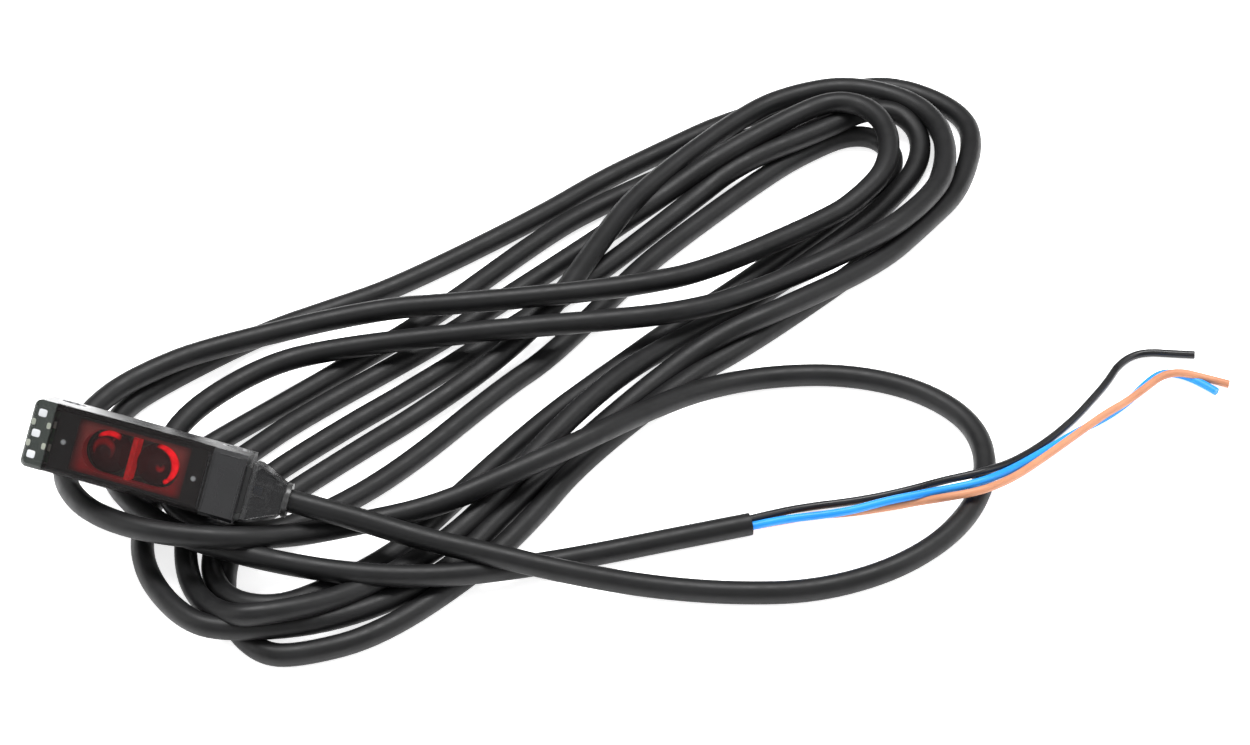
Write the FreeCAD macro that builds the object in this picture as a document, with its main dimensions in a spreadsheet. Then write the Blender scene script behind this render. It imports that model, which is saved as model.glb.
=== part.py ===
import FreeCAD, Part
import math
import os
import Sketcher

# Miniature photoelectric sensor with its free lead.
# Sensor frame: +X along the body to the lead, +Y from the optical face to the back, +Z across the width.
# The origin is the middle of the mounting bore beside the lead. Every sensor piece is drawn in this
# frame and carried by one placement, because the sensor leans on its own coiled lead.

Vec = FreeCAD.Vector
DIMENSIONS = {
    "body_length": 26, "body_depth": 10.4, "body_width": 8.2,
    "bore_to_end": 2.2, "bore_to_front": 7.4, "bore_pitch": 20.3,
    "bore_radius": 1.6, "bush_radius": 1.9, "bush_gap": 0.15, "corner_radius": 0.8, "wall": 0.8,
    "cover_thick": 1.6, "cover_length": 19.3, "cover_rim": 0.5, "cover_skin": 0.6, "bevel": 0.5,
    "window_length": 2.6, "window_wall": 0.7, "window_skin": 0.9,
    "neck_length": 0.7, "neck_depth": 5.2, "neck_width": 5.6,
    "cap_block": 0.7, "cap_taper": 3.7, "cap_depth": 6.0, "cap_width": 6.8, "cap_tip": 3.6,
    "cap_room": 4.0, "cap_gap": 0.25,
    "frame_length": 13.7, "frame_start": 3.0, "frame_width": 6.4, "frame_depth": 3.6,
    "slot_radius": 2.65, "slot_spacing": 6.5, "optics_middle": 9.95,
    "lens_spacing": 5.8, "lens_radius": 2.5, "lens_rim": 0.8, "lens_dome": 1.0,
    "mask_thick": 0.3, "mask_width": 6.8, "mask_window": 6.2, "mask_start": 0.6, "mask_gap": 0.05,
    "pip_radius": 0.3, "pip_height": 0.15,
    "divider_thick": 0.6, "divider_depth": 4.6, "divider_width": 5.1, "divider_gap": 0.1,
    "hood_length": 1.3, "emitter_hood_radius": 1.9, "receiver_hood_radius": 2.2, "hood_wall": 0.55,
    "board_thick": 0.5, "board_margin": 0.9, "main_board_thick": 0.6, "notch_gap": 0.5, "notch_side": 0.3,
    "optics_board_length": 12.0, "board_width": 5.6, "lamp_board_length": 2.4,
    "chip_thick": 0.9, "emitter_side": 1.6, "receiver_length": 2.2, "receiver_width": 2.0,
    "ic_side": 2.6, "ic_thick": 0.8, "package_length": 2.4, "package_depth": 1.3, "package_height": 1.0,
    "cord_radius": 1.4, "core_radius": 0.5, "bundle_radius": 0.62, "channel_radius": 1.2,
    "strain_radius": 1.8, "crimp_start": 0.3, "crimp_length": 0.8,
    "seal_radius": 2.1, "seal_length": 0.6, "jacket_gap": 0.02,
    "floor_drop": 9.02, "hank_layer": 2.8, "overshoot": 1.0,
}

doc = FreeCAD.newDocument("photoelectric_sensor")
sheet = doc.addObject("Spreadsheet::Sheet", "dims")
for row, (alias, number) in enumerate(DIMENSIONS.items(), start=1):
    sheet.set("A%d" % row, alias)
    sheet.set("B%d" % row, str(number))
    sheet.setAlias("B%d" % row, alias)
doc.recompute()


def dim(alias):
    return float(sheet.get(alias))


# stations worked out from the driving dimensions, along the sensor's own axes
RIGHT = dim("bore_to_end")
LEFT = RIGHT - dim("body_length")
FRONT = -dim("bore_to_front")
BACK = FRONT + dim("body_depth")
SIDE = dim("body_width") / 2
COVER_BACK = FRONT + dim("cover_thick")
COVER_LEFT = LEFT + dim("window_length")
COVER_RIGHT = COVER_LEFT + dim("cover_length")
MASK_FRONT = FRONT + dim("cover_skin") + dim("pip_height")
MASK_BACK = MASK_FRONT + dim("mask_thick")
FRAME_LEFT = COVER_LEFT + dim("frame_start")
FRAME_BACK = MASK_BACK + dim("frame_depth")
LENS_MIDDLE = COVER_LEFT + dim("optics_middle")
# how far a cutting tool runs past the face that it cuts
OVER = dim("overshoot")
LENS_PLACES = {"transmitter": LENS_MIDDLE - dim("lens_spacing") / 2,
               "receiver": LENS_MIDDLE + dim("lens_spacing") / 2}
OPTICS_BOARD_FRONT = FRAME_BACK + dim("hood_length")
OPTICS_BOARD_BACK = OPTICS_BOARD_FRONT + dim("board_thick")
MAIN_BOARD_TOP = -2.6
MAIN_BOARD_LEFT_FRONT = -4.6
MAIN_BOARD_RIGHT_FRONT = -5.2
LAMP_BOARD_FRONT = -4.4
CAP_LEFT = RIGHT + dim("neck_length")
CAP_RIGHT = CAP_LEFT + dim("cap_block") + dim("cap_taper")
CORD_Y = -3.6
JACKET_START = 4.6
LUG_FACE = -3.2
# the pips' places along the body and across it
PIPS = ((-19.45, -0.15), (-3.5, -0.25))

SENSOR = FreeCAD.Placement(Vec(0, 0, 0), FreeCAD.Rotation(-11.5, 10.3, -41))
FLOOR = -dim("floor_drop")
parts = []


def keep(obj, label, placement=None):
    """Names a finished sub-part and carries it into the shared frame."""
    obj.Label = label
    doc.recompute()
    if placement is not None:
        obj.Placement = placement.multiply(obj.Placement)
    parts.append(obj)
    return obj


def bind(obj, sizes):
    for name, expression in sizes.items():
        obj.setExpression(name, expression)


def box(name, corner, sizes):
    """A block from its lowest corner; sizes are three expressions or numbers."""
    obj = doc.addObject("Part::Box", name)
    for side, size in zip(("Length", "Width", "Height"), sizes):
        if isinstance(size, str):
            obj.setExpression(side, size)
        else:
            setattr(obj, side, size)
    obj.Placement.Base = Vec(*corner)
    return obj


def cylinder(name, start, axis, radius, height):
    """A round bar that starts at a point and runs along an axis."""
    obj = doc.addObject("Part::Cylinder", name)
    for side, size in (("Radius", radius), ("Height", height)):
        if isinstance(size, str):
            obj.setExpression(side, size)
        else:
            setattr(obj, side, size)
    obj.Placement = FreeCAD.Placement(Vec(*start), FreeCAD.Rotation(Vec(0, 0, 1), Vec(*axis)))
    return obj


def cut(name, base, tool):
    obj = doc.addObject("Part::Cut", name)
    obj.Base = base
    obj.Tool = tool
    return obj


def fuse(name, pieces):
    obj = doc.addObject("Part::MultiFuse", name)
    obj.Shapes = pieces
    return obj


def group(name, pieces):
    """Several separate solids kept as one sub-part."""
    obj = doc.addObject("Part::Compound", name)
    obj.Links = pieces
    return obj


def sketch_on(body, role, name, offset=0.0):
    plane = [f for f in body.Origin.OriginFeatures if f.Role == role][0]
    sketch = body.newObject("Sketcher::SketchObject", name)
    sketch.AttachmentSupport = [(plane, "")]
    sketch.MapMode = "FlatFace"
    sketch.AttachmentOffset = FreeCAD.Placement(Vec(0, 0, offset), FreeCAD.Rotation())
    return sketch


def outline(sketch, points):
    """A closed outline of straight lines through the points, each corner tied to its neighbours."""
    count = len(points)
    for i in range(count):
        first = Vec(points[i][0], points[i][1], 0)
        second = Vec(points[(i + 1) % count][0], points[(i + 1) % count][1], 0)
        sketch.addGeometry(Part.LineSegment(first, second), False)
    for i in range(count):
        sketch.addConstraint(Sketcher.Constraint("Coincident", i, 2, (i + 1) % count, 1))


def circle(sketch, x, y, radius_expression):
    index = sketch.addGeometry(Part.Circle(Vec(x, y, 0), Vec(0, 0, 1), 1.0), False)
    constraint = sketch.addConstraint(Sketcher.Constraint("Radius", index, 1.0))
    sketch.renameConstraint(constraint, "round_%d" % index)
    sketch.setExpression("Constraints.round_%d" % index, radius_expression)
    return index


def pad(body, sketch, length, middle=False):
    feature = body.newObject("PartDesign::Pad", sketch.Name + "_pad")
    feature.Profile = sketch
    feature.setExpression("Length", length)
    feature.Midplane = middle
    doc.recompute()
    return feature


def pocket(body, sketch, length, middle=False, flip=False):
    """Cuts a sketch out of the body, and stops if nothing was cut."""
    before = body.Shape.Volume
    feature = body.newObject("PartDesign::Pocket", sketch.Name + "_pocket")
    feature.Profile = sketch
    feature.setExpression("Length", length)
    feature.Midplane = middle
    feature.Reversed = flip
    doc.recompute()
    if body.Shape.Volume > before - 1e-6:
        raise RuntimeError("%s cut nothing" % sketch.Name)
    return feature


def dress(body, kind, base, picks, size_name, size_expression):
    """Fillets or chamfers the edges of the last feature that a test picks."""
    names = []
    for number, edge in enumerate(base.Shape.Edges, start=1):
        if picks(edge):
            names.append("Edge%d" % number)
    feature = body.newObject(kind, body.Name + "_edges%d" % len(body.Group))
    feature.Base = (base, names)
    feature.setExpression(size_name, size_expression)
    base.Visibility = False
    doc.recompute()
    return feature


def runs_along(edge, axis, **fixed):
    """True for a straight edge along one axis that lies at the given coordinates."""
    if len(edge.Vertexes) != 2:
        return False
    start, end = edge.Vertexes[0].Point, edge.Vertexes[1].Point
    span = end - start
    if abs(abs(getattr(span, axis)) - span.Length) > 1e-6:
        return False
    for name, place in fixed.items():
        wanted = [place] if isinstance(place, (int, float)) else place
        if min(abs(getattr(start, name) - w) for w in wanted) > 1e-4:
            return False
    return True


def housing():
    """The tub: a stepped block with the cavity, the neck, two cross bores and the wire channel."""
    body = doc.addObject("PartDesign::Body", "housing")
    side = sketch_on(body, "XY_Plane", "housing_side")
    outline(side, [(LEFT, COVER_BACK), (COVER_RIGHT, COVER_BACK), (COVER_RIGHT, FRONT), (RIGHT, FRONT),
                   (RIGHT, BACK), (LEFT, BACK)])
    block = pad(body, side, "dims.body_width", middle=True)
    corners = dress(body, "PartDesign::Fillet", block,
                    lambda e: runs_along(e, "y", x=LEFT, z=(-SIDE, SIDE)), "Radius", "dims.corner_radius")
    dress(body, "PartDesign::Chamfer", corners,
          lambda e: runs_along(e, "x", y=(FRONT, BACK), z=(-SIDE, SIDE)), "Size", "dims.bevel * 0.8")
    cavity = sketch_on(body, "XY_Plane", "housing_cavity")
    outline(cavity, [(LEFT + dim("wall"), FRONT), (COVER_RIGHT - dim("wall"), FRONT),
                     (COVER_RIGHT - dim("wall"), BACK - dim("wall")), (LEFT + dim("wall"), BACK - dim("wall"))])
    pocket(body, cavity, "dims.body_width - 2 * dims.wall", middle=True)
    neck = sketch_on(body, "YZ_Plane", "housing_neck", RIGHT)
    half = dim("neck_width") / 2
    low, high = CORD_Y - dim("neck_depth") / 2, CORD_Y + dim("neck_depth") / 2
    outline(neck, [(low, -half), (high, -half), (high, half), (low, half)])
    pad(body, neck, "dims.neck_length")
    bores = sketch_on(body, "XY_Plane", "housing_bores")
    circle(bores, 0, 0, "dims.bush_radius")
    circle(bores, -dim("bore_pitch"), 0, "dims.bush_radius")
    pocket(body, bores, "dims.body_width + 2 * dims.overshoot", middle=True)
    channel = sketch_on(body, "YZ_Plane", "housing_channel")
    circle(channel, CORD_Y, 0, "dims.channel_radius")
    pocket(body, channel, "2 * (dims.bore_to_end + dims.neck_length + dims.overshoot)", middle=True)
    keep(body, "housing", SENSOR)


def front_cover():
    """The smoked plate over the optics: bevelled long edges, hollowed from behind."""
    body = doc.addObject("PartDesign::Body", "front_cover")
    section = sketch_on(body, "YZ_Plane", "cover_section", COVER_LEFT)
    bevel = dim("bevel")
    outline(section, [(COVER_BACK, -SIDE), (FRONT + bevel, -SIDE), (FRONT, bevel - SIDE),
                      (FRONT, SIDE - bevel), (FRONT + bevel, SIDE), (COVER_BACK, SIDE)])
    pad(body, section, "dims.cover_length")
    recess = sketch_on(body, "YZ_Plane", "cover_recess", COVER_LEFT + dim("cover_rim"))
    half = dim("mask_width") / 2 + dim("mask_gap")
    skin = FRONT + dim("cover_skin")
    outline(recess, [(skin, -half), (COVER_BACK + OVER, -half), (COVER_BACK + OVER, half), (skin, half)])
    pocket(body, recess, "dims.cover_length - 2 * dims.cover_rim", flip=True)
    keep(body, "front_cover", SENSOR)


def indicator_window():
    """The clear end of the face, a hollow cap that spreads the light of the two indicator lamps."""
    body = doc.addObject("PartDesign::Body", "indicator_window")
    side = sketch_on(body, "XY_Plane", "window_side")
    outline(side, [(LEFT, COVER_BACK), (LEFT, FRONT), (COVER_LEFT, FRONT), (COVER_LEFT, COVER_BACK)])
    block = pad(body, side, "dims.body_width", middle=True)
    corners = dress(body, "PartDesign::Fillet", block,
                    lambda e: runs_along(e, "y", x=LEFT, z=(-SIDE, SIDE)), "Radius", "dims.corner_radius")
    dress(body, "PartDesign::Chamfer", corners,
          lambda e: runs_along(e, "x", y=FRONT, z=(-SIDE, SIDE)), "Size", "dims.bevel")
    hollow = sketch_on(body, "XY_Plane", "window_hollow")
    left, right = LEFT + dim("window_wall"), COVER_LEFT - dim("cover_rim")
    skin, behind = FRONT + dim("window_skin"), COVER_BACK + OVER
    outline(hollow, [(left, behind), (left, skin), (right, skin), (right, behind)])
    pocket(body, hollow, "dims.mask_width", middle=True)
    keep(body, "indicator_window", SENSOR)


def mask_plate():
    """The black plate behind the cover, open over the optics, with a locating pip at each end."""
    plate = box("mask_blank", (COVER_LEFT + dim("mask_start"), MASK_FRONT, -dim("mask_width") / 2),
                ("dims.cover_length - 2 * dims.mask_start", "dims.mask_thick", "dims.mask_width"))
    window = box("mask_opening", (FRAME_LEFT, MASK_FRONT - OVER, -dim("mask_window") / 2),
                 ("dims.frame_length", "dims.mask_thick + 2 * dims.overshoot", "dims.mask_window"))
    pieces = [cut("mask_open_plate", plate, window)]
    for i, (x, z) in enumerate(PIPS):
        pieces.append(cylinder("pip_%d" % i, (x, MASK_FRONT - dim("pip_height"), z), (0, 1, 0),
                               "dims.pip_radius", "dims.pip_height + dims.mask_thick / 2"))
    keep(fuse("mask_plate_solid", pieces), "mask_plate", SENSOR)


def lens_frame():
    """The tinted block that carries both lenses in one stadium-shaped well."""
    body = doc.addObject("PartDesign::Body", "lens_frame")
    section = sketch_on(body, "YZ_Plane", "frame_section", FRAME_LEFT)
    half = dim("frame_width") / 2
    outline(section, [(MASK_BACK, -half), (FRAME_BACK, -half), (FRAME_BACK, half), (MASK_BACK, half)])
    pad(body, section, "dims.frame_length")
    well = sketch_on(body, "XZ_Plane", "frame_well", -FRAME_BACK)
    radius = dim("slot_radius")
    left, right = LENS_MIDDLE - dim("slot_spacing") / 2, LENS_MIDDLE + dim("slot_spacing") / 2
    well.addGeometry(Part.LineSegment(Vec(left, radius, 0), Vec(right, radius, 0)), False)
    well.addGeometry(Part.ArcOfCircle(Part.Circle(Vec(right, 0, 0), Vec(0, 0, 1), radius),
                                      -math.pi / 2, math.pi / 2), False)
    well.addGeometry(Part.LineSegment(Vec(right, -radius, 0), Vec(left, -radius, 0)), False)
    well.addGeometry(Part.ArcOfCircle(Part.Circle(Vec(left, 0, 0), Vec(0, 0, 1), radius),
                                      math.pi / 2, 3 * math.pi / 2), False)
    pocket(body, well, "2 * (dims.frame_depth + dims.overshoot)", middle=True)
    keep(body, "lens_frame", SENSOR)


def lens(name, x):
    """A plano-convex lens: a flat rim under a dome, turned about the optical axis."""
    body = doc.addObject("PartDesign::Body", name)
    section = sketch_on(body, "XY_Plane", name + "_section")
    radius, rim, dome = dim("lens_radius"), dim("lens_rim"), dim("lens_dome")
    ball = (radius * radius + dome * dome) / (2 * dome)
    sweep = math.asin(radius / ball)
    section.addGeometry(Part.LineSegment(Vec(0, 0, 0), Vec(radius, 0, 0)), False)
    section.addGeometry(Part.LineSegment(Vec(radius, 0, 0), Vec(radius, -rim, 0)), False)
    dome_arc = Part.Circle(Vec(0, ball - rim - dome, 0), Vec(0, 0, 1), ball)
    section.addGeometry(Part.ArcOfCircle(dome_arc, -math.pi / 2, sweep - math.pi / 2), False)
    section.addGeometry(Part.LineSegment(Vec(0, -rim - dome, 0), Vec(0, 0, 0)), False)
    turn = body.newObject("PartDesign::Revolution", name + "_turn")
    turn.Profile = section
    turn.ReferenceAxis = (section, ["V_Axis"])
    turn.Angle = 360
    doc.recompute()
    body.Placement.Base = Vec(x, FRAME_BACK, 0)
    keep(body, name, SENSOR)


def optics():
    """What sits behind the lenses: divider, light hoods, lamp chip, receiver chip and their board."""
    corner = (LENS_MIDDLE - dim("divider_thick") / 2, MASK_BACK + dim("divider_gap"), -dim("divider_width") / 2)
    divider = box("optical_divider", corner, ("dims.divider_thick", "dims.divider_depth", "dims.divider_width"))
    keep(divider, "optical_divider", SENSOR)
    for name, x in LENS_PLACES.items():
        alias = "dims.emitter_hood_radius" if name == "transmitter" else "dims.receiver_hood_radius"
        shell = cylinder(name + "_hood_blank", (x, FRAME_BACK, 0), (0, 1, 0), alias, "dims.hood_length")
        bore = cylinder(name + "_hood_bore", (x, FRAME_BACK - OVER, 0), (0, 1, 0), alias + " - dims.hood_wall",
                        "dims.hood_length + 2 * dims.overshoot")
        keep(cut(name + "_hood_cut", shell, bore), name + "_hood", SENSOR)
    chip_front = OPTICS_BOARD_FRONT - dim("chip_thick")
    half = dim("emitter_side") / 2
    keep(box("emitter_led", (LENS_PLACES["transmitter"] - half, chip_front, -half),
             ("dims.emitter_side", "dims.chip_thick", "dims.emitter_side")), "emitter_led", SENSOR)
    left = LENS_PLACES["receiver"] - dim("receiver_length") / 2
    keep(box("receiver_chip", (left, chip_front, -dim("receiver_width") / 2),
             ("dims.receiver_length", "dims.chip_thick", "dims.receiver_width")), "receiver_chip", SENSOR)
    board = box("optics_board", (FRAME_LEFT + dim("board_margin"), OPTICS_BOARD_FRONT, MAIN_BOARD_TOP),
                ("dims.optics_board_length", "dims.board_thick", "dims.board_width"))
    keep(board, "optics_board", SENSOR)
    half = dim("ic_side") / 2
    keep(box("signal_ic", (LENS_MIDDLE - half, OPTICS_BOARD_BACK, -half),
             ("dims.ic_side", "dims.ic_thick", "dims.ic_side")), "signal_ic", SENSOR)


def main_board():
    """The board along one side wall: notched for the lens frame, holed for the far bush."""
    body = doc.addObject("PartDesign::Body", "main_board")
    bottom = MAIN_BOARD_TOP - dim("main_board_thick")
    shape = sketch_on(body, "XY_Plane", "board_shape", bottom)
    margin = dim("board_margin")
    left, right, back = LEFT + margin, COVER_RIGHT - margin, BACK - margin
    notch = FRAME_BACK + dim("notch_gap")
    notch_left = FRAME_LEFT - dim("notch_side")
    notch_right = FRAME_LEFT + dim("frame_length") + dim("notch_side")
    outline(shape, [(left, MAIN_BOARD_LEFT_FRONT), (notch_left, MAIN_BOARD_LEFT_FRONT), (notch_left, notch),
                    (notch_right, notch), (notch_right, MAIN_BOARD_RIGHT_FRONT),
                    (right, MAIN_BOARD_RIGHT_FRONT), (right, back), (left, back)])
    pad(body, shape, "dims.main_board_thick")
    hole = sketch_on(body, "XY_Plane", "board_hole", MAIN_BOARD_TOP)
    circle(hole, -dim("bore_pitch"), 0, "dims.bush_radius + dims.bush_gap")
    pocket(body, hole, "dims.main_board_thick * 2", middle=True)
    keep(body, "main_board", SENSOR)


# chips and lamps on the boards: lowest corner of each package, and the lamps' places across the body
PACKAGES = {"voltage_regulator": (-12.2, 0.2), "output_transistor": (-8.4, 0.2)}
LAMPS = {"green_indicator_led": 1.0, "orange_indicator_led": -1.8}
LAMP_SIZE = (1.4, 0.6, 0.8)
SMALL_PART = {"count": 5, "first": (-16.8, 0.4), "step": 0.9, "stagger": 0.3, "size": (0.5, 1.0, 0.45)}
LUG = {"thick": 0.4, "width": 0.5, "rise": 0.3}


def board_parts():
    """Chips, small parts and lamps soldered to the boards, and the lugs for the three wires."""
    top = MAIN_BOARD_TOP
    for name, (x, y) in PACKAGES.items():
        keep(box(name, (x, y, top), ("dims.package_length", "dims.package_depth", "dims.package_height")),
             name, SENSOR)
    chips = []
    for i in range(SMALL_PART["count"]):
        x = SMALL_PART["first"][0] + SMALL_PART["step"] * i
        y = SMALL_PART["first"][1] + SMALL_PART["stagger"] * (i % 2)
        chips.append(box("small_part_%d" % i, (x, y, top), SMALL_PART["size"]))
    keep(group("small_parts", chips), "passive_components", SENSOR)
    board_left = LEFT + dim("board_margin")
    lamp_board = box("indicator_board", (board_left, LAMP_BOARD_FRONT, top),
                     ("dims.lamp_board_length", "dims.board_thick", "dims.board_width"))
    keep(lamp_board, "indicator_board", SENSOR)
    lamp_left = board_left + (dim("lamp_board_length") - LAMP_SIZE[0]) / 2
    for name, z in LAMPS.items():
        keep(box(name, (lamp_left, LAMP_BOARD_FRONT - LAMP_SIZE[1], z), LAMP_SIZE), name, SENSOR)
    lugs = []
    for i, (dy, dz) in enumerate(triad(dim("bundle_radius"))):
        corner = (LUG_FACE - LUG["thick"], CORD_Y + dy - LUG["width"] / 2, top)
        lugs.append(box("lug_%d" % i, corner, (LUG["thick"], LUG["width"], dz + LUG["rise"] - top)))
    keep(group("lugs", lugs), "solder_lugs", SENSOR)


def triad(radius):
    """Offsets of three round wires that lie in a bundle, a third of a turn apart."""
    spots = []
    for turn in (45, 165, 285):
        angle = math.radians(turn)
        spots.append((radius * math.cos(angle), radius * math.sin(angle)))
    return spots


def bushes():
    """The two metal sleeves that line the cross bores."""
    sleeves = []
    for i, x in enumerate((0.0, -dim("bore_pitch"))):
        outer = cylinder("bush_bar_%d" % i, (x, 0, -SIDE), (0, 0, 1), "dims.bush_radius", "dims.body_width")
        inner = cylinder("bush_bore_%d" % i, (x, 0, -SIDE - OVER), (0, 0, 1), "dims.bore_radius",
                         "dims.body_width + 2 * dims.overshoot")
        sleeves.append(cut("bush_%d" % i, outer, inner))
    keep(group("bushes", sleeves), "mounting_bushes", SENSOR)


def cable_end_cap():
    """The clear tapered end: a block and a wedge, hollow inside, bored for the jacket at its tip."""
    block = box("cap_block", (CAP_LEFT, CORD_Y - dim("cap_depth") / 2, -dim("cap_width") / 2),
                ("dims.cap_block", "dims.cap_depth", "dims.cap_width"))
    wedge = doc.addObject("Part::Wedge", "cap_wedge")
    bind(wedge, {"Ymin": "0", "Ymax": "dims.cap_taper",
                 "Xmin": "-dims.cap_depth / 2", "Xmax": "dims.cap_depth / 2",
                 "Zmin": "-dims.cap_width / 2", "Zmax": "dims.cap_width / 2",
                 "X2min": "-dims.cap_tip / 2", "X2max": "dims.cap_tip / 2",
                 "Z2min": "-dims.cap_tip / 2", "Z2max": "dims.cap_tip / 2"})
    wedge.Placement = FreeCAD.Placement(Vec(CAP_LEFT + dim("cap_block"), CORD_Y, 0),
                                        FreeCAD.Rotation(Vec(0, 0, 1), -90))
    solid = fuse("cap_solid", [block, wedge])
    solid.Refine = True
    room = cylinder("cap_room", (CAP_LEFT - OVER, CORD_Y, 0), (1, 0, 0), "dims.strain_radius + dims.cap_gap",
                    "dims.cap_room")
    bore = cylinder("cap_bore", (CAP_LEFT, CORD_Y, 0), (1, 0, 0), "dims.cord_radius",
                    "dims.cap_block + dims.cap_taper + dims.overshoot")
    keep(cut("cap_cut", solid, fuse("cap_tools", [room, bore])), "cable_end_cap", SENSOR)


def strain_relief():
    """The crimped sleeve that holds the jacket inside the cap, and the ring at the cap's tip."""
    sizes = {"crimp_sleeve": (JACKET_START + dim("crimp_start"), "dims.strain_radius", "dims.crimp_length"),
             "cable_seal_ring": (CAP_RIGHT, "dims.seal_radius", "dims.seal_length")}
    for name, (x, radius, length) in sizes.items():
        outer = cylinder(name + "_bar", (x, CORD_Y, 0), (1, 0, 0), radius, length)
        inner = cylinder(name + "_bore", (x - OVER, CORD_Y, 0), (1, 0, 0), "dims.cord_radius + dims.jacket_gap",
                         length + " + 2 * dims.overshoot")
        keep(cut(name + "_cut", outer, inner), name, SENSOR)


def inner_wires():
    """The three insulated wires from the jacket's end, through the channel, to their lugs."""
    for name, (dy, dz) in zip(("inner_wire_black", "inner_wire_blue", "inner_wire_brown"),
                              triad(dim("bundle_radius"))):
        wire = cylinder(name, (LUG_FACE, CORD_Y + dy, dz), (1, 0, 0), "dims.core_radius",
                        JACKET_START - LUG_FACE)
        keep(wire, name, SENSOR)


# Routes of the lead: x, y and the height of the centre line above the surface it lies on
LEAD = [(4.3, -3.6, 10.5), (9.1, -4.6, 9.6), (15.8, -5.5, 8.0), (22.8, -6.8, 6.2), (31.8, -8.8, 5.3),
        (40.8, -10.7, 4.2), (50.3, -10.5, 1.7), (60.3, -11.3, 1.4), (70.3, -10.9, 1.4), (80.3, -6.8, 1.4),
        (87.8, 0.2, 1.4), (91.6, 9.2, 1.4), (90.6, 18.2, 1.4), (84.3, 24.5, 1.4), (75.3, 27.5, 1.4),
        (65.8, 27.3, 1.4), (57.3, 23.9, 2.5), (49.8, 17.5, 4.5), (42.8, 10.5, 6.4), (34.3, 4.9, 6.2),
        (24.8, 0.5, 4.5), (15.8, -2.7, 4.7), (7.3, -6.9, 6.5), (-1.2, -10.8, 9.9), (-10.2, -9.1, 9.8),
        (-17.2, -3.5, 7.8), (-21.0, 5.2, 5.1), (-20.2, 14.2, 4.2), (-16.7, 20.7, 4.3), (-11.2, 25.4, 4.3)]
TAIL = [(-16.5, 15.2, 1.5), (-15.2, 7.2, 2.9), (-11.7, -0.3, 5.2), (-6.2, -6.5, 6.8), (0.3, -9.5, 6.8),
        (7.3, -11.3, 6.3), (14.8, -12.1, 5.5), (22.3, -11.7, 4.6), (29.3, -10.1, 3.6), (36.3, -7.1, 2.0),
        (44.3, -4.5, 1.4), (53.3, -1.9, 1.4), (62.3, 0.6, 1.4)]
CORES = {
    "core_black": [(62.2, 1.0, 1.8), (66.1, 3.0, 1.2), (70.3, 4.6, 0.6), (74.5, 5.3, 0.6), (78.8, 6.3, 0.7),
                   (82.4, 6.7, 1.5), (85.7, 6.6, 2.9), (88.8, 6.5, 3.9), (91.5, 7.6, 3.8), (94.7, 10.6, 2.4),
                   (98.8, 15.4, 0.9), (102.5, 19.8, 0.5), (105.6, 24.2, 0.5), (107.6, 27.3, 0.5),
                   (109.0, 30.1, 0.5), (110.9, 32.0, 0.5), (113.1, 32.7, 0.5), (116.1, 32.4, 0.5),
                   (118.9, 32.2, 0.5)],
    "core_blue": [(62.4, 0.1, 1.5), (66.1, 1.5, 1.3), (70.2, 2.0, 1.4), (74.5, 2.9, 1.4), (78.8, 4.5, 1.5),
                  (82.4, 4.9, 2.1), (85.6, 4.9, 3.0), (88.7, 4.8, 3.9), (91.4, 5.9, 3.9), (94.7, 9.2, 2.6),
                  (98.8, 13.9, 1.1), (103.8, 18.5, 0.5), (106.9, 20.6, 0.5), (109.8, 23.4, 0.5),
                  (112.2, 26.7, 0.5), (114.3, 28.8, 0.5), (116.5, 28.7, 0.5), (118.9, 27.3, 0.5),
                  (121.0, 25.3, 0.5)],
    "core_brown": [(62.3, 0.8, 0.8), (66.1, 2.1, 0.5), (70.2, 3.1, 0.5), (74.5, 3.5, 0.5), (78.7, 4.3, 0.6),
                   (82.4, 4.7, 1.1), (85.5, 3.8, 2.7), (88.6, 3.3, 3.9), (91.3, 4.3, 3.9), (94.6, 7.6, 2.6),
                   (98.6, 12.1, 1.7), (103.7, 17.3, 1.5), (106.7, 20.2, 1.5), (109.4, 22.3, 1.5),
                   (112.2, 25.1, 1.5), (114.3, 27.3, 1.5), (116.7, 28.0, 1.4), (119.3, 27.7, 0.8),
                   (122.7, 26.7, 0.5)],
}


# the share of the shorter run beside a bend that the bend may take up
BEND_SHARE = 0.45


def tube(name, route, radius_alias):
    """A round cord: straight runs joined by tangent arcs, as large as the shorter run beside each allows."""
    corners = [Vec(x, y, height + FLOOR) for x, y, height in route]
    edges = []
    radii = []
    here = corners[0]
    for before, corner, after in zip(corners, corners[1:], corners[2:]):
        inward = (corner - before).normalize()
        outward = (after - corner).normalize()
        turn = inward.getAngle(outward)
        reach = BEND_SHARE * min((corner - before).Length, (after - corner).Length)
        start = corner - inward * reach
        end = corner + outward * reach
        bend = reach / math.tan(turn / 2)
        to_centre = (outward - inward).normalize()
        middle = corner + to_centre * (bend / math.cos(turn / 2) - bend)
        edges.append(Part.LineSegment(here, start).toShape())
        edges.append(Part.Arc(start, middle, end).toShape())
        radii.append(bend)
        here = end
    edges.append(Part.LineSegment(here, corners[-1]).toShape())
    path = Part.Wire(edges)
    radius = dim(radius_alias)
    direction = (corners[1] - corners[0]).normalize()
    section = Part.Wire([Part.Circle(corners[0], direction, radius).toShape()])
    solid = path.makePipeShell([section], True, False)
    wanted = math.pi * radius ** 2 * path.Length
    print("%s: length %.1f, volume ratio %.4f, tightest bend %.1f, bends %s" % (
        name, path.Length, solid.Volume / wanted, min(radii), " ".join("%.0f" % r for r in radii)))
    if abs(solid.Volume / wanted - 1) > 0.01:
        raise RuntimeError("%s is not a clean tube" % name)
    obj = doc.addObject("Part::Feature", name)
    obj.Shape = solid
    keep(obj, name)


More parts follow.
